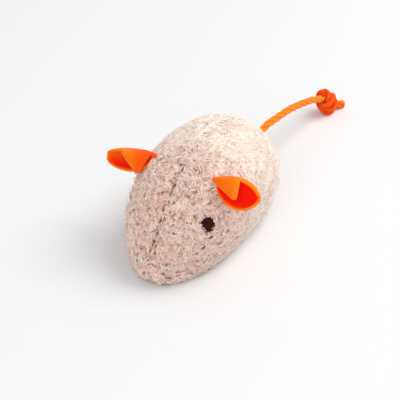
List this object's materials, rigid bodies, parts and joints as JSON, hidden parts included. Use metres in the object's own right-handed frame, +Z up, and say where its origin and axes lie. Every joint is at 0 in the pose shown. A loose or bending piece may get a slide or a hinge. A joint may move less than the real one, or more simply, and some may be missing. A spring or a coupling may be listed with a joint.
{
  "type": "catnip mouse",
  "caption": "Stuffed plush cat toy shaped like a mouse, with folded felt ears on hinges at their seams, stitched eyes and a knotted rope tail that swings and lifts.",
  "frame": {"origin": "on the floor under the middle of the body", "axes": "+Z up, -Y towards the snout, +Y towards the tail, +X the mouse's own left"},
  "size_m": [0.0671, 0.1637, 0.0447],
  "materials": {
    "plush": "curly cream-beige plush pile",
    "fibre": "loose white polyester fibre",
    "pouch": "thin cloth pouch with dried green leaf",
    "thread": "beige sewing thread",
    "felt": "orange felt",
    "eye": "dark brown embroidery thread",
    "rope": "orange twisted rope"
  },
  "bodies": {
    "body": {"left_body_panel": "plush", "right_body_panel": "plush", "base_panel": "plush", "fibre_filling": "fibre", "catnip_pouch": "pouch", "top_seam_thread": "thread", "base_seam_thread": "thread", "left_dart_thread": "thread", "right_dart_thread": "thread", "left_ear_tab": "felt", "right_ear_tab": "felt", "left_eye": "eye", "right_eye": "eye", "tail_anchor": "rope"},
    "left_ear": {"left_ear": "felt"},
    "right_ear": {"right_ear": "felt"},
    "tail_root": {"tail_root": "rope"},
    "tail": {"tail_cord": "rope", "tail_knot": "rope", "tail_tip": "rope"}
  },
  "joints": [
    {"name": "left_ear_bend", "type": "hinge", "parent": "body", "child": "left_ear", "pos_m": [0.01472, -0.0122, 0.03746], "axis": [0.8406, 0, -0.5417], "range_deg": [-30, 40], "stiffness_Nm_per_rad": 0.0006},
    {"name": "right_ear_bend", "type": "hinge", "parent": "body", "child": "right_ear", "pos_m": [-0.01472, -0.0122, 0.03746], "axis": [0.8406, 0, 0.5417], "range_deg": [-38, 15], "stiffness_Nm_per_rad": 0.0006},
    {"name": "tail_swing", "type": "hinge", "parent": "body", "child": "tail_root", "pos_m": [0, 0.041, 0.0155], "axis": [0, 0, 1], "range_deg": [-70, 70], "stiffness_Nm_per_rad": 0.001},
    {"name": "tail_lift", "type": "hinge", "parent": "tail_root", "child": "tail", "pos_m": [0.00022, 0.04965, 0.02048], "axis": [1, 0, 0], "range_deg": [-20, 75], "stiffness_Nm_per_rad": 0.003}
  ]
}
